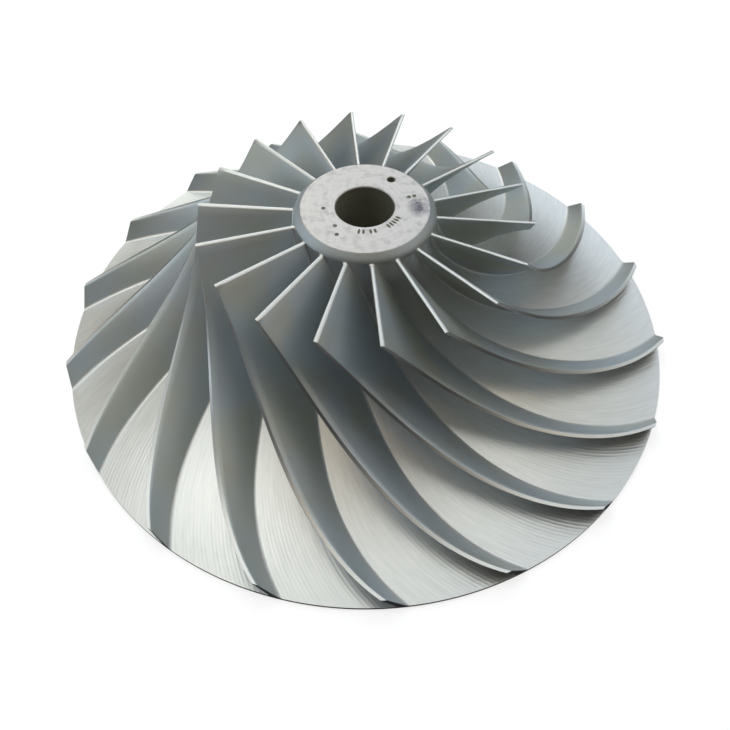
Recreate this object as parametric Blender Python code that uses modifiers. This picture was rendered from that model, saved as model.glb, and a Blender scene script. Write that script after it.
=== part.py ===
"""A radial compressor wheel: a flared hub with a shaft bore, and eighteen swept blades around it.

The wheel is modelled in metres with +Z along its axis, from the back face to the nose. The origin is
on the axis, in the plane of the back face. The outline of the hub and the tip line of the blades are
turned shapes, so each is one curve in the plane of radius and height. A blade is the ruled surface
between those two curves, as the side of a milling cutter leaves it, with its thickness added.
"""

import math

import bmesh
import bpy
from mathutils import Matrix, Vector

# The wheel as a whole
WHEEL_RADIUS = 0.150
BLADE_COUNT = 18
BLADE_PITCH = 2 * math.pi / BLADE_COUNT

# The nose, which stands a little above the leading edges
NOSE_HEIGHT = 0.081
NOSE_RADIUS = 0.029
NOSE_CHAMFER = 0.0012
LEADING_EDGE_HEIGHT = 0.0772
BORE_RADIUS = 0.013
BORE_CHAMFER = 0.0010

# The blind hole in the nose face, which a puller screw or a locking pin uses
PIN_HOLE_RADIUS = 0.0018
PIN_HOLE_DEPTH = 0.010
PIN_HOLE_CIRCLE_RADIUS = 0.0215
PIN_HOLE_ANGLE = math.radians(61.5)

# The flared outer surface of the hub: its ends, and how far each end's tangent reaches
HUB_ROOT_RADIUS = 0.0318
HUB_TAPER = 0.0008
HUB_INLET_REACH = 0.0385
RIM_THICKNESS = 0.0018
HUB_OUTLET_REACH = 0.0542

# The tip line of the blades, which runs close to the casing
TIP_RADIUS = 0.075
TIP_TAPER = 0.00135
TIP_INLET_REACH = 0.045
OUTLET_HEIGHT = 0.0106
OUTLET_DROP = 0.0005
TIP_OUTLET_REACH = 0.0254

# How far a blade has turned round the axis at a share s of its length: a*s + b*s^2 + c*s^3, in degrees
HUB_WRAP = (103.5, -85.5, 42.8)
TIP_WRAP = (91.8, -48.9, 14.9)

# Blade thickness, square to its surface
ROOT_THICKNESS = 0.0026
TIP_THICKNESS = 0.0015

# The back: a seat round the bore and a rest at the rim, both at height 0, with a shallow relief between
SEAT_RADIUS = 0.034
RELIEF_DEPTH = 0.0025
RELIEF_SLOPE = 0.004
RELIEF_RADIUS = 0.092

# A blade's root stands this far off the hub, which is what two separate solids need
SEAM = 0.0003

# How finely the round shapes and the blades are divided; 72 sides repeat at every blade
HUB_SIDES = 72
HUB_CURVE_STEPS = 20
BLADE_LENGTH_STEPS = 20
BLADE_HEIGHT_STEPS = 3
PIN_HOLE_SIDES = 16

HUB_COLOUR = (0.62, 0.63, 0.62, 1.0)
BLADE_COLOUR = (0.50, 0.52, 0.53, 1.0)


def clear_scene():
    """Removes every object, so that the script can run in any file."""
    for obj in list(bpy.data.objects):
        bpy.data.objects.remove(obj, do_unlink=True)


def make_collection(name):
    """A new collection in the scene."""
    collection = bpy.data.collections.new(name)
    bpy.context.scene.collection.children.link(collection)
    return collection


def make_metal(name, colour, roughness):
    """A bare metal with one colour and one roughness."""
    material = bpy.data.materials.new(name)
    material.use_nodes = True
    shader = material.node_tree.nodes["Principled BSDF"]
    shader.inputs["Base Color"].default_value = colour
    shader.inputs["Metallic"].default_value = 1.0
    shader.inputs["Roughness"].default_value = roughness
    return material


def curve_point(ends_and_handles, s):
    """The point at share s of a cubic curve, as a vector of radius and height."""
    start, start_handle, end_handle, end = ends_and_handles
    t = 1.0 - s
    return t**3 * start + 3 * t * t * s * start_handle + 3 * t * s * s * end_handle + s**3 * end


def curve_direction(ends_and_handles, s):
    """The unit direction of a cubic curve at share s."""
    start, start_handle, end_handle, end = ends_and_handles
    t = 1.0 - s
    slope = t * t * (start_handle - start) + 2 * t * s * (end_handle - start_handle)
    return (slope + s * s * (end - end_handle)).normalized()


def hub_curve():
    """The flared surface, from the foot of the leading edges to the top of the rim."""
    start = Vector((HUB_ROOT_RADIUS, LEADING_EDGE_HEIGHT))
    end = Vector((WHEEL_RADIUS, RIM_THICKNESS))
    return (
        start,
        start + Vector((HUB_TAPER, -HUB_INLET_REACH)),
        end - Vector((HUB_OUTLET_REACH, 0.0)),
        end,
    )


def tip_curve():
    """The outer line of the blades, from the tips of the leading edges to the outlet."""
    start = Vector((TIP_RADIUS, LEADING_EDGE_HEIGHT))
    end = Vector((WHEEL_RADIUS, OUTLET_HEIGHT))
    return (
        start,
        start + Vector((TIP_TAPER, -TIP_INLET_REACH)),
        end + Vector((-TIP_OUTLET_REACH, OUTLET_DROP)),
        end,
    )


def wrap_angle(wrap, s):
    """How far the blade has turned about the axis at share s of its length, in radians."""
    linear, square, cube = wrap
    return math.radians(linear * s + square * s**2 + cube * s**3)


def on_axis_circle(radius, height, angle):
    """A point in space from its radius, height and angle."""
    return Vector((radius * math.cos(angle), radius * math.sin(angle), height))


def root_point(s):
    """The foot of the blade's middle surface, a seam's width off the hub."""
    curve = hub_curve()
    direction = curve_direction(curve, s)
    outward = Vector((-direction.y, direction.x))
    radius, height = curve_point(curve, s) + SEAM * outward
    return on_axis_circle(min(radius, WHEEL_RADIUS), height, wrap_angle(HUB_WRAP, s))


def tip_point(s):
    """The top of the blade's middle surface."""
    radius, height = curve_point(tip_curve(), s)
    return on_axis_circle(radius, height, wrap_angle(TIP_WRAP, s))


def middle_point(s, h):
    """A point on the blade's middle surface: s along its length, h from root to tip."""
    return root_point(s).lerp(tip_point(s), h)


def blade_point(s, h, side):
    """A point on one side of the blade, side being -1 or 1.

    The thickness is laid off round the axis, so that the root stays on the hub and the tip on its
    turned line. The turn is made larger where the surface slants, to keep the thickness square to it.
    """
    step = 1e-3
    along = middle_point(min(s + step, 1.0), h) - middle_point(max(s - step, 0.0), h)
    up = tip_point(s) - root_point(s)
    normal = along.cross(up).normalized()
    point = middle_point(s, h)
    radius = math.hypot(point.x, point.y)
    round_axis = Vector((-point.y, point.x, 0.0)) / radius
    thickness = ROOT_THICKNESS + (TIP_THICKNESS - ROOT_THICKNESS) * h
    turn = side * 0.5 * thickness / (radius * abs(normal.dot(round_axis)))
    return Matrix.Rotation(turn, 4, "Z") @ point


def blade_mesh(material):
    """One blade at angle 0: a unit block, divided along and across, with each vertex moved into place."""
    bm = bmesh.new()
    bmesh.ops.create_cube(bm, size=1.0)
    for axis, steps in ((0, BLADE_LENGTH_STEPS), (1, BLADE_HEIGHT_STEPS)):
        edges = [e for e in bm.edges if abs(e.verts[0].co[axis] - e.verts[1].co[axis]) > 0.5]
        bmesh.ops.subdivide_edges(bm, edges=edges, cuts=steps - 1, use_grid_fill=True)
    for vertex in bm.verts:
        s, h, side = vertex.co.x + 0.5, vertex.co.y + 0.5, 2 * vertex.co.z
        vertex.co = blade_point(s, h, side)
    if bm.calc_volume(signed=True) < 0:
        bmesh.ops.reverse_faces(bm, faces=bm.faces)
    mesh = bpy.data.meshes.new("blade")
    bm.to_mesh(mesh)
    bm.free()
    mesh.materials.append(material)
    mesh.shade_smooth()
    mesh.set_sharp_from_angle(angle=math.radians(40))
    return mesh


def hub_outline():
    """The closed section of the hub as radius and height: over the nose, down the flare, back along the base."""
    curve = hub_curve()
    flare = [curve_point(curve, i / HUB_CURVE_STEPS) for i in range(HUB_CURVE_STEPS + 1)]
    nose = [
        (BORE_RADIUS, NOSE_HEIGHT - BORE_CHAMFER),
        (BORE_RADIUS + BORE_CHAMFER, NOSE_HEIGHT),
        (NOSE_RADIUS - NOSE_CHAMFER, NOSE_HEIGHT),
        (NOSE_RADIUS, NOSE_HEIGHT - NOSE_CHAMFER),
    ]
    base = [
        (WHEEL_RADIUS, 0.0),
        (RELIEF_RADIUS, 0.0),
        (RELIEF_RADIUS - RELIEF_SLOPE, RELIEF_DEPTH),
        (SEAT_RADIUS + RELIEF_SLOPE, RELIEF_DEPTH),
        (SEAT_RADIUS, 0.0),
        (BORE_RADIUS + BORE_CHAMFER, 0.0),
        (BORE_RADIUS, BORE_CHAMFER),
    ]
    return nose + [tuple(point) for point in flare] + base


def turned(name, outline, sides, material):
    """A closed section turned about Z."""
    mesh = bpy.data.meshes.new(name)
    vertices = [(radius, 0.0, height) for radius, height in outline]
    edges = [(i, (i + 1) % len(outline)) for i in range(len(outline))]
    mesh.from_pydata(vertices, edges, [])
    mesh.materials.append(material)
    obj = bpy.data.objects.new(name, mesh)
    screw = obj.modifiers.new("turn", "SCREW")
    screw.axis = "Z"
    screw.angle = 2 * math.pi
    screw.steps = sides
    screw.render_steps = sides
    screw.use_merge_vertices = True
    screw.merge_threshold = 0.00001
    screw.use_smooth_shade = True
    return obj


def make_hub(wheel, cutters, material):
    """The disc, flare and nose, bored right through, with one small blind hole in the nose face."""
    hub = turned("hub", hub_outline(), HUB_SIDES, material)
    wheel.objects.link(hub)

    bm = bmesh.new()
    bmesh.ops.create_cone(
        bm,
        cap_ends=True,
        segments=PIN_HOLE_SIDES,
        radius1=PIN_HOLE_RADIUS,
        radius2=PIN_HOLE_RADIUS,
        depth=2 * PIN_HOLE_DEPTH,
    )
    mesh = bpy.data.meshes.new("pin_hole")
    bm.to_mesh(mesh)
    bm.free()
    drill = bpy.data.objects.new("pin_hole", mesh)
    drill.location = on_axis_circle(PIN_HOLE_CIRCLE_RADIUS, NOSE_HEIGHT, PIN_HOLE_ANGLE)
    drill.hide_render = True
    drill.display_type = "WIRE"
    cutters.objects.link(drill)

    cut = hub.modifiers.new("pin_hole", "BOOLEAN")
    cut.operation = "DIFFERENCE"
    cut.object = drill
    return hub


def make_blades(wheel, hub, material):
    """Eighteen equal blades, one to each step round the hub, counted anticlockwise from +X."""
    mesh = blade_mesh(material)
    for i in range(BLADE_COUNT):
        blade = bpy.data.objects.new(f"blade_{i + 1:02d}", mesh)
        blade.rotation_euler = (0.0, 0.0, i * BLADE_PITCH)
        blade.parent = hub
        wheel.objects.link(blade)


def main():
    clear_scene()
    wheel = make_collection("compressor_wheel")
    cutters = make_collection("cutters")
    hub = make_hub(wheel, cutters, make_metal("milled_hub_metal", HUB_COLOUR, 0.32))
    make_blades(wheel, hub, make_metal("milled_blade_metal", BLADE_COLOUR, 0.38))


main()
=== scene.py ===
"""The look of the milled aluminium wheel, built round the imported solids. Metres, +Z along the axis."""

import math
import random

import bmesh
import bpy
from mathutils import Matrix, Vector


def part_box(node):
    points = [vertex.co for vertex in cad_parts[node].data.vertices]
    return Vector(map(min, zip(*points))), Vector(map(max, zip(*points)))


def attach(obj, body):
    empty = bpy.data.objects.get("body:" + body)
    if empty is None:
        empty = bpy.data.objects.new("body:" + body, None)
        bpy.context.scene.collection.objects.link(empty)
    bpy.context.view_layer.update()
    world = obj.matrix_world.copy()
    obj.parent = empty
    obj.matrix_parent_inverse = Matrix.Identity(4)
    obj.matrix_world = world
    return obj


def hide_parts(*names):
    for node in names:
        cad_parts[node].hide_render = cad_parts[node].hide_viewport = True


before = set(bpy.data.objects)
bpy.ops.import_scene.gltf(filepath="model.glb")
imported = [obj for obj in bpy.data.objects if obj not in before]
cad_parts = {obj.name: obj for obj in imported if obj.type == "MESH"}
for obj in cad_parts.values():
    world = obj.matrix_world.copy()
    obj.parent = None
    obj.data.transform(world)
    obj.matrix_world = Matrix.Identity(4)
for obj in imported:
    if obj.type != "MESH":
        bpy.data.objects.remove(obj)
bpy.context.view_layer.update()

# The hub's flared floor, milled from a turned forging with a ball-nosed cutter that ran from the eye
# to the rim. Each pass leaves a shallow groove, and neighbouring grooves meet in a fine ridge.
# The grooves are real shapes here, because they give the floor its sheen and the rim its fine teeth.
wheel_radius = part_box("hub")[1].x
nose_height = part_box("hub")[1].z
blade_count = sum(name.startswith("blade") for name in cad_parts)
blade_pitch = 2 * math.pi / blade_count

EYE_HEIGHT = 0.0772
FLOOR_EYE_RADIUS = 0.0318
FLOOR_EYE_HANDLE = (0.0008, -0.0385)
FLOOR_RIM_HANDLE = (-0.0542, 0.0)
RIM_THICKNESS = 0.0018
RIM_BREAK = 0.0003
FLOOR_WRAP = (103.5, -85.5, 42.8)
GROOVES_PER_PASSAGE = 24
STEPS_PER_GROOVE = 3
CUTTER_RADIUS = 0.0080
FLOOR_ROWS = 48
SAME_PLACE = 1e-6
chance = random.Random(7)
groove_shares = [chance.uniform(0.5, 1.3) for groove in range(blade_count * GROOVES_PER_PASSAGE)]

eye_foot = Vector((FLOOR_EYE_RADIUS, EYE_HEIGHT))
rim_top = Vector((wheel_radius, RIM_THICKNESS))
floor_curve = (eye_foot, eye_foot + Vector(FLOOR_EYE_HANDLE), rim_top + Vector(FLOOR_RIM_HANDLE), rim_top)


def curve_point(curve, s):
    """The radius and height at share s of a curve with two ends and two handles."""
    a, b, c, d = curve
    t = 1 - s
    return t**3 * a + 3 * t * t * s * b + 3 * t * s * s * c + s**3 * d


def curve_slope(curve, s):
    """How radius and height change with s."""
    a, b, c, d = curve
    t = 1 - s
    return 3 * (t * t * (b - a) + 2 * t * s * (c - b) + s * s * (d - c))


def curve_length(curve):
    """The length of a curve, measured in twenty short straight steps."""
    points = [curve_point(curve, i / 20) for i in range(21)]
    return sum((b - a).length for a, b in zip(points, points[1:]))


def wrap(terms, s):
    """How far the passages have turned about the axis at share s of their length."""
    return math.radians(sum(term * s ** (i + 1) for i, term in enumerate(terms)))


def wrap_slope(terms, s):
    """How the turn changes with s."""
    return math.radians(sum((i + 1) * term * s**i for i, term in enumerate(terms)))


def round_axis(radius, height, angle):
    """A point in space from its radius, height and angle."""
    return Vector((radius * math.cos(angle), radius * math.sin(angle), height))


def floor_point(s, across):
    """A point of the grooved floor: s from eye to rim, and across in grooves from the first blade."""
    radius, height = curve_point(floor_curve, s)
    slope = curve_slope(floor_curve, s)
    sweep = math.atan2(radius * wrap_slope(FLOOR_WRAP, s), slope.length)
    groove_width = radius * blade_pitch / GROOVES_PER_PASSAGE * math.cos(sweep)
    groove = math.floor(across + SAME_PLACE)
    off_middle = 2 * abs(across - groove - 0.5)
    depth = groove_width**2 / (8 * CUTTER_RADIUS) * (1 - off_middle**2)
    depth *= groove_shares[groove % len(groove_shares)]
    radius += depth * slope.y / slope.length
    height -= depth * slope.x / slope.length
    angle = wrap(FLOOR_WRAP, s) + across * blade_pitch / GROOVES_PER_PASSAGE
    return round_axis(min(radius, wheel_radius), height, angle)


def made_object(name, bm, materials):
    """A piece from a finished bmesh, with its materials, riding on the wheel's one body."""
    mesh = bpy.data.meshes.new(name)
    bm.to_mesh(mesh)
    bm.free()
    for material in materials:
        mesh.materials.append(material)
    obj = bpy.data.objects.new(name, mesh)
    bpy.context.scene.collection.objects.link(obj)
    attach(obj, "root")
    return obj


def linear(hex_colour):
    """An sRGB hex colour as the linear colour that a shader takes."""
    shares = [int(hex_colour[i : i + 2], 16) / 255 for i in (0, 2, 4)]
    return (*(c / 12.92 if c <= 0.04045 else ((c + 0.055) / 1.055) ** 2.4 for c in shares), 1.0)


def add(tree, kind, links=(), **settings):
    """Adds a node with its settings, and gives each named input a value or another node's output."""
    node = tree.nodes.new(kind)
    for name, value in settings.items():
        setattr(node, name, value)
    for name, value in dict(links).items():
        if isinstance(value, bpy.types.NodeSocket):
            tree.links.new(value, node.inputs[name])
        else:
            node.inputs[name].default_value = value
    return node


def metal(name, roughness):
    """A new bare metal, with its node tree and its shader."""
    material = bpy.data.materials.new(name)
    material.use_nodes = True
    shader = material.node_tree.nodes["Principled BSDF"]
    shader.inputs["Metallic"].default_value = 1.0
    shader.inputs["Roughness"].default_value = roughness
    return material, material.node_tree, shader


# Ball-milled aluminium: bare and bright, each groove with its own tone, and fine drag marks along it.
# The "passage" map runs from 0 to 1 along a groove and counts the grooves across. A noise texture has
# about one grain to each unit of its map, so its scale is one over the width of a grain.
TONE_LENGTH = 0.0108
DRAG_MARK_LENGTH = 0.00252
DRAG_MARKS_PER_GROOVE = 6
floor_length = curve_length(floor_curve)
tone_scale = (floor_length / TONE_LENGTH, 1, 1)
drag_scale = (floor_length / DRAG_MARK_LENGTH, DRAG_MARKS_PER_GROOVE, 1)
milled_floor, tree, shader = metal("ball_milled_aluminium", 0.37)
along_groove = add(tree, "ShaderNodeUVMap", uv_map="passage")
stretched = add(tree, "ShaderNodeMapping", {"Vector": along_groove.outputs[0], "Scale": tone_scale})
tone = add(tree, "ShaderNodeTexNoise", {"Vector": stretched.outputs[0], "Scale": 1.0, "Detail": 3.0})
shade = add(tree, "ShaderNodeValToRGB", {"Fac": tone.outputs["Fac"]})
shade.color_ramp.elements[0].position = 0.35
shade.color_ramp.elements[0].color = linear("F0F0EE")
shade.color_ramp.elements[1].position = 0.65
shade.color_ramp.elements[1].color = linear("F9F8F6")
tree.links.new(shade.outputs["Color"], shader.inputs["Base Color"])
drag = add(tree, "ShaderNodeMapping", {"Vector": along_groove.outputs[0], "Scale": drag_scale})
marks = add(tree, "ShaderNodeTexNoise", {"Vector": drag.outputs[0], "Scale": 1.0, "Detail": 2.0})
bump = add(tree, "ShaderNodeBump", {"Height": marks.outputs["Fac"], "Strength": 0.12, "Distance": 0.0002})
tree.links.new(bump.outputs["Normal"], shader.inputs["Normal"])

# The nose, faced on a lathe, its edge rounded by hand, then dulled by handling: pale, even and matt.
# A shoulder runs from it to the passages. In its face are a small drilled hole for a locking pin, and
# punch dots and chisel ticks, as fitters make to keep a wheel and its shaft in step.
NOSE_RADIUS = 0.029
NOSE_ROUND = 0.0008
SHOULDER_TOP_HANDLE = (0.0009, -0.0009)
SHOULDER_FOOT_HANDLE = (-0.0003, 0.0012)
SHOULDER_STEPS = 8
PIN_HOLE_RADIUS = 0.0018
PIN_HOLE_BREAK = 0.0003
PIN_HOLE_DEPTH = 0.010
PIN_HOLE_CIRCLE_RADIUS = 0.0215
PIN_HOLE_ANGLE = 61.5
PIN_HOLE_SIDES = 32
DRILL_TIP_SLOPE = 0.6
PUNCH_RADIUS = 0.0010
PUNCH_PLACES = [(189, 0.0182), (229, 0.0178), (241, 0.0213), (22, 0.0204), (22, 0.0229)]
TICK_HALF_LENGTH = 0.0015
TICK_HALF_WIDTH = 0.0006
TICK_RADIUS = 0.0161
TICK_ANGLES = (266, 273, 284, 291, 314, 320, 326, 332, 338)
MARK_DEPTH = 0.0008
MARK_SIDES = 12

nose_round_middle = Vector((NOSE_RADIUS - NOSE_ROUND, nose_height - NOSE_ROUND))
nose_outline = [
    nose_round_middle + NOSE_ROUND * Vector((math.sin(turn), math.cos(turn)))
    for turn in (0, math.pi / 12, math.pi / 6, math.pi / 4)
]
nose_foot = nose_outline[-1]
shoulder_curve = (
    nose_foot,
    nose_foot + Vector(SHOULDER_TOP_HANDLE),
    eye_foot + Vector(SHOULDER_FOOT_HANDLE),
    eye_foot,
)


def carry_ring(bm, ring, move):
    """Extrudes a ring of edges, puts each new vertex where move says, and returns the new ring."""
    new = bmesh.ops.extrude_edge_only(bm, edges=ring)["geom"]
    for item in new:
        if isinstance(item, bmesh.types.BMVert):
            item.co = move(item.co)
    return [item for item in new if isinstance(item, bmesh.types.BMEdge)]


def to_circle(radius, height):
    """A move that puts a vertex on a circle round the axis and keeps its angle."""
    return lambda co: round_axis(radius, height, math.atan2(co.y, co.x))


def open_mouth(bm, angle, radius, half_length, half_width, sides):
    """A ring of edges on the nose face where a hole or mark begins, and the ring's middle."""
    middle = round_axis(radius, nose_height, math.radians(angle))
    place = Matrix.Translation(middle) @ Matrix.Rotation(math.radians(angle), 4, "Z")
    shape = Matrix.Diagonal((half_length, half_width, 1, 1))
    corners = bmesh.ops.create_circle(bm, segments=sides, radius=1.0, matrix=place @ shape)["verts"]
    return list({edge for corner in corners for edge in corner.link_edges}), middle


def sink_to_point(bm, ring, point):
    """Closes a ring of edges at one point, as a punch or a drill's tip does."""
    ring = carry_ring(bm, ring, lambda co: point)
    bmesh.ops.pointmerge(bm, verts=list({v for edge in ring for v in edge.verts}), merge_co=point)


def cut_nose_face(bm, face_edges):
    """Fills the nose face between its two rings, with the pin hole and the fitters' marks cut in it."""
    down = Vector((0, 0, -1))
    size = PIN_HOLE_RADIUS + PIN_HOLE_BREAK
    mouths, middle = open_mouth(bm, PIN_HOLE_ANGLE, PIN_HOLE_CIRCLE_RADIUS, size, size, PIN_HOLE_SIDES)
    narrow = PIN_HOLE_RADIUS / size
    ring = carry_ring(bm, mouths, lambda co: middle + narrow * (co - middle) + PIN_HOLE_BREAK * down)
    ring = carry_ring(bm, ring, lambda co: co + (PIN_HOLE_DEPTH - PIN_HOLE_BREAK) * down)
    sink_to_point(bm, ring, middle + (PIN_HOLE_DEPTH + DRILL_TIP_SLOPE * PIN_HOLE_RADIUS) * down)
    marks = [(angle, radius, PUNCH_RADIUS, PUNCH_RADIUS) for angle, radius in PUNCH_PLACES]
    marks += [(angle, TICK_RADIUS, TICK_HALF_LENGTH, TICK_HALF_WIDTH) for angle in TICK_ANGLES]
    for mark in marks:
        ring, middle = open_mouth(bm, *mark, MARK_SIDES)
        mouths = mouths + ring
        sink_to_point(bm, ring, middle + MARK_DEPTH * down)
    bmesh.ops.triangle_fill(bm, edges=face_edges + mouths, use_beauty=True, normal=(0, 0, 1))


def ring_scale(spacing):
    """The scale at which a wave texture's rings lie this far apart."""
    return math.pi / (10 * spacing)


# Dulled aluminium: a fine grain, drawn a millimetre wide so that it shows, small grey stains, faint
# lathe arcs, and one patchy grey thumb mark. A mix node takes its two colours at inputs 6 and 7 and
# gives their blend at output 2.
NOSE_GRAIN_WIDTH = 0.00111
STAIN_WIDTH = 0.00385
LATHE_ARC_SPACING = 0.00242
THUMB_PLACE = (0.0235, 0.0015)
THUMB_SIZE = (0.0056, 0.0072)
THUMB_SMEAR = 0.006
THUMB_STRENGTH = 2.4
dulled_nose, tree, shader = metal("dulled_turned_aluminium", 0.50)
place = add(tree, "ShaderNodeTexCoord")
grains = {"Vector": place.outputs["Object"], "Scale": 1 / NOSE_GRAIN_WIDTH, "Detail": 4.0}
grain = add(tree, "ShaderNodeTexNoise", grains)
stain_patches = {"Vector": place.outputs["Object"], "Scale": 1 / STAIN_WIDTH, "Detail": 4.0}
stains = add(tree, "ShaderNodeTexNoise", stain_patches)
shade = add(tree, "ShaderNodeValToRGB", {"Fac": stains.outputs["Fac"]})
shade.color_ramp.elements[0].position = 0.28
shade.color_ramp.elements[0].color = linear("D6D3D2")
shade.color_ramp.elements[1].position = 0.52
shade.color_ramp.elements[1].color = linear("EFEAE9")
bent = {"Vector": place.outputs["Object"], "Scale": ring_scale(LATHE_ARC_SPACING), "Distortion": 6.0}
arcs = add(tree, "ShaderNodeTexWave", bent, wave_type="RINGS", rings_direction="Z")
faint = {"Factor": 0.035, 6: shade.outputs["Color"], 7: arcs.outputs["Color"]}
worn = add(tree, "ShaderNodeMix", faint, data_type="RGBA", blend_type="MULTIPLY")
smear = {0: stains.outputs["Color"], 1: (THUMB_SMEAR, THUMB_SMEAR, 0), 2: place.outputs["Object"]}
smeared = add(tree, "ShaderNodeVectorMath", smear, operation="MULTIPLY_ADD")
thumb = add(tree, "ShaderNodeMapping", {"Vector": smeared.outputs[0]}, vector_type="TEXTURE")
thumb.inputs["Location"].default_value = (*(x + THUMB_SMEAR / 2 for x in THUMB_PLACE), nose_height)
thumb.inputs["Scale"].default_value = (*THUMB_SIZE, 1.0)
spread = add(tree, "ShaderNodeTexGradient", {"Vector": thumb.outputs[0]}, gradient_type="SPHERICAL")
grained = {0: spread.outputs["Fac"], 1: grain.outputs["Fac"]}
patchy = add(tree, "ShaderNodeMath", grained, operation="MULTIPLY")
stronger = {0: patchy.outputs[0], 1: THUMB_STRENGTH}
shown = add(tree, "ShaderNodeMath", stronger, operation="MULTIPLY", use_clamp=True)
over = {"Factor": shown.outputs[0], 6: worn.outputs[2], 7: linear("84828E")}
stained = add(tree, "ShaderNodeMix", over, data_type="RGBA")
tree.links.new(stained.outputs[2], shader.inputs["Base Color"])
bump = add(tree, "ShaderNodeBump", {"Height": grain.outputs["Fac"], "Strength": 0.35, "Distance": 0.0002})
tree.links.new(bump.outputs["Normal"], shader.inputs["Normal"])

# Flank-milled aluminium, on the shoulder and the sides of the blades: a soft sheen with faint lines
# along the flow, and a tint that drifts from green-grey to blue-grey as the oxide on it does. On the
# blades the "passage" map runs from 0 to 1 both along the blade and up it.
OXIDE_PATCH_WIDTH = 0.0385
FLANK_LINE_LENGTH = 0.063
FLANK_LINES = 25
line_scale = (floor_length / FLANK_LINE_LENGTH, FLANK_LINES, 1)
milled_flank, tree, shader = metal("flank_milled_aluminium", 0.57)
place = add(tree, "ShaderNodeTexCoord")
patches = {"Vector": place.outputs["Object"], "Scale": 1 / OXIDE_PATCH_WIDTH, "Detail": 2.0}
oxide = add(tree, "ShaderNodeTexNoise", patches)
shade = add(tree, "ShaderNodeValToRGB", {"Fac": oxide.outputs["Fac"]})
shade.color_ramp.elements[0].position = 0.38
shade.color_ramp.elements[0].color = linear("E2E5DF")
shade.color_ramp.elements[1].position = 0.62
shade.color_ramp.elements[1].color = linear("E1EAF2")
tree.links.new(shade.outputs["Color"], shader.inputs["Base Color"])
along_blade = add(tree, "ShaderNodeUVMap", uv_map="passage")
stretched = add(tree, "ShaderNodeMapping", {"Vector": along_blade.outputs[0], "Scale": line_scale})
lines = add(tree, "ShaderNodeTexNoise", {"Vector": stretched.outputs[0], "Scale": 1.0, "Detail": 3.0})
bump = add(tree, "ShaderNodeBump", {"Height": lines.outputs["Fac"], "Strength": 0.02, "Distance": 0.0002})
tree.links.new(bump.outputs["Normal"], shader.inputs["Normal"])

# The bore, reamed right through for the shaft. It looks dark, because little light gets down it, and its
# wall is painted darker still, as painted shade.
BORE_RADIUS = 0.013
BORE_CHAMFER = 0.0004
BORE_BACK_CHAMFER = 0.0010
bore_outline = [
    (BORE_RADIUS, BORE_BACK_CHAMFER),
    (BORE_RADIUS, nose_height / 2),
    (BORE_RADIUS, nose_height - BORE_CHAMFER),
    (BORE_RADIUS + BORE_CHAMFER, nose_height),
]

# Painted shade for the bore, the pin hole and the fitters' marks: aluminium painted a patchy grey-brown
# and half dull, so it is hardly a metal to the eye.
SHADE_PATCH_WIDTH = 0.0083
shade_painted_bore, tree, shader = metal("shade_painted_aluminium", 0.60)
shader.inputs["Metallic"].default_value = 0.0
place = add(tree, "ShaderNodeTexCoord")
patches = {"Vector": place.outputs["Object"], "Scale": 1 / SHADE_PATCH_WIDTH, "Detail": 3.0}
shade_blotches = add(tree, "ShaderNodeTexNoise", patches)
shade = add(tree, "ShaderNodeValToRGB", {"Fac": shade_blotches.outputs["Fac"]})
shade.color_ramp.elements[0].color = linear("84847A")
shade.color_ramp.elements[1].color = linear("A2A294")
tree.links.new(shade.outputs["Color"], shader.inputs["Base Color"])

# The back, turned on a lathe and never seen in use: a flat seat round the bore and a flat ring out to
# the rim, with a shallow relief between them. It is closed to the floor at the rim's broken edge.
SEAT_RADIUS = 0.034
RELIEF_DEPTH = 0.0025
RELIEF_SLOPE = 0.004
RELIEF_RADIUS = 0.092
BACK_RADIUS = wheel_radius - 0.0012
SPIN_STEPS = 288
back_outline = [
    (BACK_RADIUS, 0.0),
    (0.5 * (wheel_radius + RELIEF_RADIUS), 0.0),
    (RELIEF_RADIUS, 0.0),
    (RELIEF_RADIUS - RELIEF_SLOPE, RELIEF_DEPTH),
    (0.5 * (RELIEF_RADIUS + SEAT_RADIUS), RELIEF_DEPTH),
    (SEAT_RADIUS + RELIEF_SLOPE, RELIEF_DEPTH),
    (SEAT_RADIUS, 0.0),
    (BORE_RADIUS + BORE_BACK_CHAMFER, 0.0),
]

# Turned aluminium: bright, with lathe rings drawn about 1 mm apart so that they show.
LATHE_RING_SPACING = 0.00098
turned_back, tree, shader = metal("turned_aluminium", 0.34)
shader.inputs["Base Color"].default_value = linear("DADBD9")
place = add(tree, "ShaderNodeTexCoord")
even = {"Vector": place.outputs["Object"], "Scale": ring_scale(LATHE_RING_SPACING)}
rings = add(tree, "ShaderNodeTexWave", even, wave_type="RINGS", rings_direction="Z")
bump = add(tree, "ShaderNodeBump", {"Height": rings.outputs["Fac"], "Strength": 0.10, "Distance": 0.0002})
tree.links.new(bump.outputs["Normal"], shader.inputs["Normal"])

# The hub's mesh: what is turned is spun first, the nose face is cut next, and then the floor is bent
# from a flat grid and joined to the rest by the shoulder and the rim.
FLOOR, NOSE, BORE, BACK, FLANK = range(5)
SHARP_ANGLE = math.radians(30)
DOWNWARD = -0.2
bm = bmesh.new()
uv = bm.loops.layers.uv.new("passage")
for outline in (back_outline + bore_outline, nose_outline):
    points = [bm.verts.new((radius, 0.0, height)) for radius, height in outline]
    sides = [bm.edges.new(pair) for pair in zip(points, points[1:])]
    bmesh.ops.spin(
        bm, geom=points + sides, axis=(0, 0, 1), steps=SPIN_STEPS, angle=2 * math.pi, use_merge=True
    )
turned_edges = [edge for edge in bm.edges if edge.is_boundary]
face_edges = [edge for edge in turned_edges if edge.verts[0].co.z > nose_height - SAME_PLACE]
back_ring = [edge for edge in turned_edges if edge.verts[0].co.z < EYE_HEIGHT / 2]
nose_ring = [edge for edge in turned_edges if edge not in face_edges and edge not in back_ring]
for edge in face_edges:
    edge.smooth = False
cut_nose_face(bm, face_edges)

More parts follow.
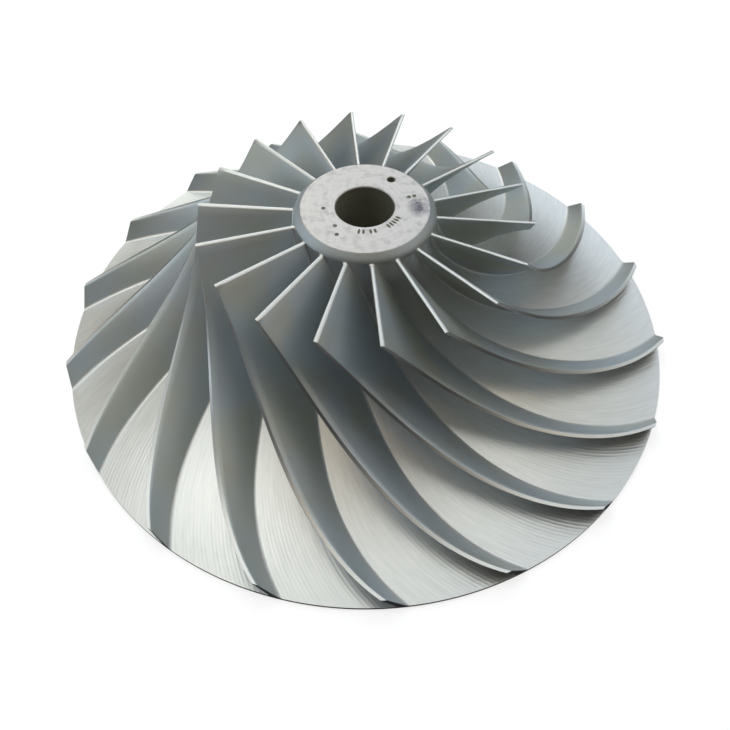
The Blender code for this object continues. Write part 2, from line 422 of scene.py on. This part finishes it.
columns = blade_count * GROOVES_PER_PASSAGE * STEPS_PER_GROOVE
grid = bmesh.ops.create_grid(bm, x_segments=FLOOR_ROWS, y_segments=columns, size=0.5)["verts"]
floor_edges = {edge for vertex in grid for edge in vertex.link_edges}
for face in {face for vertex in grid for face in vertex.link_faces}:
    for loop in face.loops:
        x, y = loop.vert.co.xy
        loop[uv].uv = (x + 0.5, (y + 0.5) * columns / STEPS_PER_GROOVE)
for edge in floor_edges:
    start, end = (vertex.co for vertex in edge.verts)
    column = round((start.y + 0.5) * columns)
    edge.smooth = abs(start.y - end.y) > SAME_PLACE or column % STEPS_PER_GROOVE != 0
for vertex in grid:
    s, turn = vertex.co.x + 0.5, vertex.co.y + 0.5
    vertex.co = floor_point(s, turn * columns / STEPS_PER_GROOVE)
bmesh.ops.remove_doubles(bm, verts=grid, dist=SAME_PLACE)

joined = set(nose_ring) | set(back_ring)
open_edges = [edge for edge in bm.edges if edge.is_boundary and edge not in joined]
eye_ring = [edge for edge in open_edges if edge.verts[0].co.z > EYE_HEIGHT / 2]
rim_ring = [edge for edge in open_edges if edge.verts[0].co.z < EYE_HEIGHT / 2]
rim_ring = carry_ring(bm, rim_ring, to_circle(wheel_radius, RIM_BREAK))
rim_ring = carry_ring(bm, rim_ring, to_circle(wheel_radius - RIM_BREAK, 0.0))
for i in range(SHOULDER_STEPS - 1, 0, -1):
    eye_ring = carry_ring(bm, eye_ring, to_circle(*curve_point(shoulder_curve, i / SHOULDER_STEPS)))
bmesh.ops.bridge_loops(bm, edges=eye_ring + nose_ring)
bmesh.ops.bridge_loops(bm, edges=rim_ring + back_ring)
bmesh.ops.recalc_face_normals(bm, faces=bm.faces)
for face in bm.faces:
    face.smooth = True
    middle = face.calc_center_median()
    radius = math.hypot(middle.x, middle.y)
    in_face = BORE_RADIUS + BORE_CHAMFER < radius < NOSE_RADIUS - NOSE_ROUND
    sunk_in_face = in_face and nose_height / 2 < middle.z < nose_height - MARK_DEPTH / 4
    # The bore, the pin hole and the fitters' punch dots and ticks take the painted shade.
    if radius < BORE_RADIUS or sunk_in_face:
        face.material_index = BORE
    elif middle.z > EYE_HEIGHT and radius < FLOOR_EYE_RADIUS:
        face.material_index = NOSE if middle.z > nose_foot.y else FLANK
    elif radius < wheel_radius - RIM_BREAK and face.normal.z < DOWNWARD:
        face.material_index = BACK
    else:
        face.material_index = FLOOR
for edge in bm.edges:
    if edge.calc_face_angle(0) > SHARP_ANGLE:
        edge.smooth = False
hub_metals = [milled_floor, dulled_nose, shade_painted_bore, turned_back, milled_flank]
hub = made_object("milled_hub", bm, hub_metals)
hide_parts("hub")

# The eighteen blades, cut in one piece with the hub by the side of a tapered cutter, so each is a
# ruled surface from root to tip. The tip is turned to the casing's curve, the leading edge is thinned
# and rounded by hand, and the cutter's nose leaves a fillet all round the root.
TIP_EYE_RADIUS = 0.075
TIP_EYE_HANDLE = (0.00135, -0.045)
TIP_RIM_HEIGHT = 0.0106
TIP_RIM_HANDLE = (-0.0254, 0.0005)
TIP_WRAP = (91.8, -48.9, 14.9)
ROOT_THICKNESS = 0.0026
TIP_THICKNESS = 0.0015
LEADING_THICKNESS = 0.0014
LEADING_TAPER = 0.06
ROOT_FILLET = 0.0011
FILLET_SINK = 0.00012
EDGE_BREAK = 0.00015
BLADE_LENGTH_STEPS = 44
BLADE_HEIGHT_STEPS = 10
BLADE_FILLET_STEPS = 5
BLADE_WIDTH_STEPS = 8
BLADE_SHARP_ANGLE = math.radians(38)

tip_eye = Vector((TIP_EYE_RADIUS, EYE_HEIGHT))
tip_rim = Vector((wheel_radius, TIP_RIM_HEIGHT))
tip_curve = (tip_eye, tip_eye + Vector(TIP_EYE_HANDLE), tip_rim + Vector(TIP_RIM_HANDLE), tip_rim)
shoulder_length = curve_length(shoulder_curve)


def flank_point(s, h):
    """A point of the blade's middle surface: s from eye to rim, h from root to tip."""
    s = max(s, 0.0)
    root = round_axis(*curve_point(floor_curve, s), wrap(FLOOR_WRAP, s))
    tip = round_axis(*curve_point(tip_curve, s), wrap(TIP_WRAP, s))
    return root.lerp(tip, h)


def turn_for(s, h, width):
    """The turn about the axis that shifts the blade's surface by a width square to itself."""
    step = 0.001
    along = flank_point(min(s + step, 1.0), h) - flank_point(max(s - step, 0.0), h)
    normal = along.cross(flank_point(s, 1) - flank_point(s, 0)).normalized()
    point = flank_point(s, h)
    radius = math.hypot(point.x, point.y)
    sideways = Vector((-point.y, point.x, 0)) / radius
    return width / (radius * abs(normal.dot(sideways)))


def thickness_at(s, h):
    """The blade's thickness, less over its first few millimetres."""
    full = ROOT_THICKNESS + (TIP_THICKNESS - ROOT_THICKNESS) * h
    return full + (LEADING_THICKNESS - full) * max(1 - s / LEADING_TAPER, 0) ** 2


def side_point(s, h, side):
    """A point of the blade with its thickness, side running from -1 to 1."""
    return Matrix.Rotation(side * turn_for(s, h, thickness_at(s, h) / 2), 3, "Z") @ flank_point(s, h)


def floor_beside(s, side, upstream):
    """The floor at the fillet's outer edge, beside the blade or upstream of it on the shoulder."""
    reach = upstream * ROOT_FILLET
    length = curve_slope(floor_curve, s).length
    place = s - reach / length
    if place >= 0:
        radius, height = curve_point(floor_curve, place)
        slope = curve_slope(floor_curve, place)
    else:
        share = 1 + place * length / shoulder_length
        radius, height = curve_point(shoulder_curve, share)
        slope = curve_slope(shoulder_curve, share)
    radius += FILLET_SINK * slope.y / slope.length
    height -= FILLET_SINK * slope.x / slope.length
    half = turn_for(s, 0, thickness_at(s, 0) / 2)
    wide = turn_for(s, 0, ROOT_FILLET)
    return round_axis(radius, height, wrap(FLOOR_WRAP, max(place, 0)) + side * (half + wide))


def blade_point(length_share, row, side_share):
    """Where a vertex of the divided block goes. The block's front end wraps round the leading edge."""
    near = 0.01
    nose_depth = near * LEADING_THICKNESS / 2 / (flank_point(near, 0.5) - flank_point(0, 0.5)).length
    s = nose_depth + (1 - nose_depth) * length_share
    side, upstream = side_share, 0.0
    if length_share == 0:
        side = math.sin(side_share * math.pi / 2)
        upstream = math.cos(side_share * math.pi / 2)
        s = nose_depth * (1 - upstream)
    height = (flank_point(s, 1) - flank_point(s, 0)).length
    fillet_top = ROOT_FILLET / height
    edge = EDGE_BREAK / height
    if row == 0 and length_share > 0 and abs(side) < 1:
        return side_point(s, 0, side)
    if row == 0:
        return floor_beside(s, side, upstream)
    if row <= BLADE_FILLET_STEPS:
        t = row / BLADE_FILLET_STEPS
        corner = side_point(s, 0, side)
        top = side_point(s, fillet_top, side)
        return (1 - t) ** 2 * floor_beside(s, side, upstream) + 2 * t * (1 - t) * corner + t * t * top
    if row < block_steps[1]:
        share = (row - BLADE_FILLET_STEPS) / BLADE_HEIGHT_STEPS
        return side_point(s, fillet_top + (1 - edge - fillet_top) * share, side)
    return side_point(s, 1, side * (1 - 2 * EDGE_BREAK / TIP_THICKNESS))


# Turned and hand-rounded edges: the brightest metal on the wheel, with a fine dull grain, drawn 2.5 mm
# wide so that it shows.
EDGE_GRAIN_WIDTH = 0.0025
bright_edge, tree, shader = metal("polished_edge_aluminium", 0.42)
place = add(tree, "ShaderNodeTexCoord")
grains = {"Vector": place.outputs["Object"], "Scale": 1 / EDGE_GRAIN_WIDTH, "Detail": 2.0}
grain = add(tree, "ShaderNodeTexNoise", grains)
shade = add(tree, "ShaderNodeValToRGB", {"Fac": grain.outputs["Fac"]})
shade.color_ramp.elements[0].color = linear("F6F6F4")
shade.color_ramp.elements[1].color = linear("FEFEFE")
tree.links.new(shade.outputs["Color"], shader.inputs["Base Color"])

# The first blade: a unit block, divided along x, y and z, whose vertices then go to their places. Its
# faces take the flank's metal, or the bright one at the leading edge, the tip and the fillet.
SIDE, EDGE = range(2)
block_steps = (BLADE_LENGTH_STEPS, BLADE_FILLET_STEPS + BLADE_HEIGHT_STEPS + 1, BLADE_WIDTH_STEPS)
bm = bmesh.new()
uv = bm.loops.layers.uv.new("passage")
bmesh.ops.create_cube(bm, size=1.0)
for axis, steps in enumerate(block_steps):
    across = [edge for edge in bm.edges if abs(edge.verts[0].co[axis] - edge.verts[1].co[axis]) > 0.5]
    bmesh.ops.subdivide_edges(bm, edges=across, cuts=steps - 1, use_grid_fill=True)
for face in bm.faces:
    face.smooth = True
    middle = face.calc_center_median()
    in_fillet = (middle.y + 0.5) * block_steps[1] < BLADE_FILLET_STEPS
    at_tip = middle.y > 0.5 - SAME_PLACE
    at_front = middle.x < SAME_PLACE - 0.5
    face.material_index = EDGE if in_fillet or at_tip or at_front else SIDE
    for loop in face.loops:
        loop[uv].uv = (loop.vert.co.x + 0.5, loop.vert.co.y + 0.5)
places = {}
for vertex in bm.verts:
    x, y, z = vertex.co
    places[vertex] = blade_point(round(x + 0.5, 6), round((y + 0.5) * block_steps[1]), round(2 * z, 6))
for vertex, place in places.items():
    vertex.co = place
if bm.calc_volume(signed=True) < 0:
    bmesh.ops.reverse_faces(bm, faces=bm.faces)
for edge in bm.edges:
    edge.smooth = edge.calc_face_angle(0) < BLADE_SHARP_ANGLE
first_blade = bpy.data.meshes.new("blade")
bm.to_mesh(first_blade)
bm.free()
for i in range(blade_count):
    bm = bmesh.new()
    bm.from_mesh(first_blade)
    bmesh.ops.rotate(bm, verts=bm.verts, matrix=Matrix.Rotation(i * blade_pitch, 3, "Z"))
    blade = made_object(f"milled_blade_{i + 1:02d}", bm, [milled_flank, bright_edge])
    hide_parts(f"blade_{i + 1:02d}")

# The plain pale floor that the wheel lies on, a sheet of paper that turns up into a wall all round,
# and soft studio light from large panels that hang inside it.
PAPER_RADIUS = 3.0
PAPER_WALL = 6.0
PAPER_SIDES = 64
PAPER_DROP = 0.0002
bm = bmesh.new()
lower = Matrix.Translation((0, 0, -PAPER_DROP))
bmesh.ops.create_circle(bm, cap_ends=True, segments=PAPER_SIDES, radius=PAPER_RADIUS, matrix=lower)
carry_ring(bm, [edge for edge in bm.edges if edge.is_boundary], to_circle(PAPER_RADIUS, PAPER_WALL))
pale_paper = bpy.data.materials.new("pale_paper")
pale_paper.use_nodes = True
shader = pale_paper.node_tree.nodes["Principled BSDF"]
shader.inputs["Base Color"].default_value = linear("DCDDE0")
shader.inputs["Roughness"].default_value = 0.9
shader.inputs["Emission Color"].default_value = linear("FFFFFF")
shader.inputs["Emission Strength"].default_value = 0.70
mesh = bpy.data.meshes.new("studio_floor")
bm.to_mesh(mesh)
bm.free()
mesh.materials.append(pale_paper)
studio_floor = bpy.data.objects.new("studio_floor", mesh)
studio_floor.visible_diffuse = False
studio_floor.visible_glossy = False
bpy.context.scene.collection.objects.link(studio_floor)

world = bpy.data.worlds.new("studio")
bpy.context.scene.world = world
world.use_nodes = True
world.node_tree.nodes["Background"].inputs["Color"].default_value = linear("DDE3E8")
world.node_tree.nodes["Background"].inputs["Strength"].default_value = 0.02

# The panels hang in three rings, at 62, 36 and 8 degrees, and one overhead. Their powers, in watts, are
# set so that the wheel is lit as in the photograph: brightest from the left and the back.
PANEL_DISTANCE = 1.6
PANEL_WIDTH = 0.8
DAYLIGHT = "FAFFFB"
SKYLIGHT = "E9F5FF"
LAMPLIGHT = "FFF1DA"


def panel(name, azimuth, elevation, power, colour):
    """A round soft light that faces the wheel. The camera sees azimuth 95 behind the wheel."""
    light = bpy.data.lights.new(name, "AREA")
    light.shape = "DISK"
    light.size = PANEL_WIDTH
    light.energy = power
    light.color = linear(colour)[:3]
    obj = bpy.data.objects.new(name, light)
    turn = Matrix.Rotation(math.radians(azimuth), 4, "Z")
    tilt = Matrix.Rotation(math.radians(90 - elevation), 4, "Y")
    obj.matrix_world = turn @ tilt @ Matrix.Translation((0, 0, PANEL_DISTANCE))
    obj.visible_camera = False
    bpy.context.scene.collection.objects.link(obj)


panel("overhead", 0, 88, 1.4, DAYLIGHT)
panel("high_right", 0, 62, 1.5, DAYLIGHT)
panel("high_back_right", 60, 62, 1.1, SKYLIGHT)
panel("high_back_left", 120, 62, 1.4, DAYLIGHT)
panel("high_left", 180, 62, 2.5, DAYLIGHT)
panel("high_front_left", 240, 62, 1.0, LAMPLIGHT)
panel("high_front_right", 300, 62, 0.3, LAMPLIGHT)
panel("right", 0, 36, 1.0, LAMPLIGHT)
panel("back_right", 36, 36, 1.2, DAYLIGHT)
panel("back", 72, 36, 1.8, SKYLIGHT)
panel("back_left", 108, 36, 2.5, DAYLIGHT)
panel("far_left", 144, 36, 0.4, LAMPLIGHT)
panel("left", 180, 36, 1.0, DAYLIGHT)
panel("front_right", 324, 36, 0.3, LAMPLIGHT)
panel("low_back_right", 75, 8, 0.4, DAYLIGHT)
panel("low_back_left", 105, 8, 0.6, DAYLIGHT)
panel("low_left", 165, 8, 0.9, DAYLIGHT)
panel("low_front_left", 195, 8, 1.6, SKYLIGHT)

# The camera, close to the wheel as the photograph's was: a phone's width of view at arm's length.
CAMERA_TURN = math.radians(5.37)
CAMERA_ELEVATION = math.radians(53.58)
CAMERA_ROLL = math.radians(-0.36)
CAMERA_OFFSET = Vector((-0.00024, -0.02148, 0.38685))
CAMERA_LENS = 36.22
camera = bpy.data.cameras.new("camera")
camera.lens = CAMERA_LENS
camera.sensor_width = 36.0
camera.clip_start = 0.01
camera_object = bpy.data.objects.new("camera", camera)
aim = Matrix.Rotation(CAMERA_TURN, 4, "Z") @ Matrix.Rotation(math.pi / 2 - CAMERA_ELEVATION, 4, "X")
aim = aim @ Matrix.Rotation(CAMERA_ROLL, 4, "Z")
camera_object.matrix_world = aim @ Matrix.Translation(CAMERA_OFFSET)
bpy.context.scene.collection.objects.link(camera_object)
bpy.context.scene.camera = camera_object
bpy.context.scene.view_settings.view_transform = "Standard"
